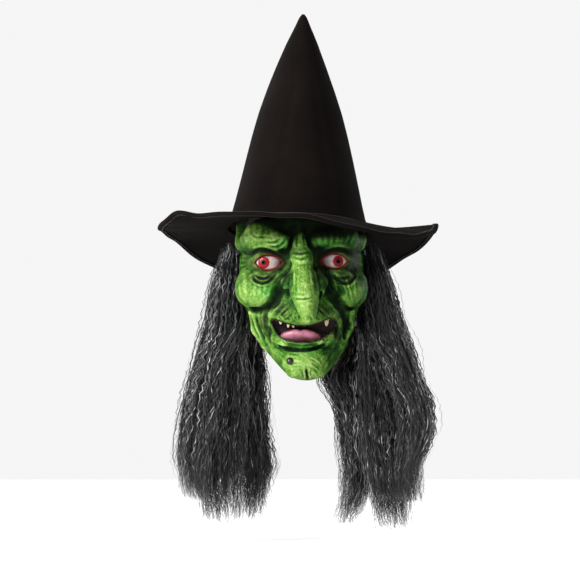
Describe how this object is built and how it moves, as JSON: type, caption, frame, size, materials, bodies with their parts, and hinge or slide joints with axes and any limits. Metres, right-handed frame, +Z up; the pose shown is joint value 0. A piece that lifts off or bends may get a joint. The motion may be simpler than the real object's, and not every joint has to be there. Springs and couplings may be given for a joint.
{
  "type": "latex halloween mask",
  "caption": "Witch mask: latex face shell with domed eyes, wig in two hanging falls, tall pointed felt hat with a wired wavy brim, and an elastic strap.",
  "frame": {"origin": "centre of the head opening, level with the bottom of the chin", "axes": "+Z up along the head, the face looks along -Y, +X on the right of someone who looks at the face"},
  "size_m": [0.3216, 0.3621, 0.5972],
  "materials": {
    "latex_green": "matt latex with dark wash in the creases",
    "cap_net": "stretch net",
    "eye_white": "glossy, reddened at the rim",
    "iris_red": "glossy",
    "mouth_cloth": "matt woven",
    "latex_pink": "satin latex",
    "tooth": "satin",
    "wart_black": "glossy",
    "hair": "crimped synthetic fibre, black with silver-grey strands",
    "weft_tape": "sewn tape",
    "elastic": "ribbed woven elastic",
    "rivet_steel": "blackened nickel plate",
    "slider_plastic": "fine grain",
    "felt_black": "short-pile felt",
    "lining_cloth": "thin woven",
    "sweatband_tape": "grosgrain",
    "wire": "bare"
  },
  "bodies": {
    "mask": {"face_shell": "latex_green", "wig_cap": "cap_net", "left_eye": "eye_white", "right_eye": "eye_white", "left_iris": "iris_red", "right_iris": "iris_red", "mouth_lining": "mouth_cloth", "tongue": "latex_pink", "left_fang": "tooth", "right_fang": "tooth", "snaggle_teeth": "tooth", "chin_wart": "wart_black", "left_weft": "weft_tape", "right_weft": "weft_tape", "back_hair": "hair", "elastic_strap": "elastic", "left_strap_rivet": "rivet_steel", "right_strap_rivet": "rivet_steel"},
    "slider": {"strap_slider": "slider_plastic"},
    "hat": {"hat_cone": "felt_black", "cone_lining": "lining_cloth", "cone_back_seam": "felt_black", "sweatband": "sweatband_tape", "brim_top": "felt_black", "brim_underside": "felt_black", "brim_wire": "wire", "brim_binding": "felt_black"},
    "left_hair": {"left_front_lock": "hair", "left_side_lock": "hair", "left_back_lock": "hair"},
    "right_hair": {"right_front_lock": "hair", "right_side_lock": "hair", "right_back_lock": "hair"}
  },
  "joints": [
    {"name": "hat_lift", "type": "slide", "parent": "mask", "child": "hat", "axis": [0.0241, 0.1564, 0.9874], "range_m": [0, 0.16]},
    {"name": "left_hair_swing", "type": "hinge", "parent": "mask", "child": "left_hair", "pos_m": [-0.0902, 0.036, 0.148], "axis": [0, 1, 0], "range_deg": [-2, 22]},
    {"name": "right_hair_swing", "type": "hinge", "parent": "mask", "child": "right_hair", "pos_m": [0.0935, 0.035, 0.148], "axis": [0, -1, 0], "range_deg": [-2, 22]},
    {"name": "strap_slide", "type": "slide", "parent": "mask", "child": "slider", "axis": [1, 0, 0], "range_m": [-0.025, 0.025]}
  ]
}
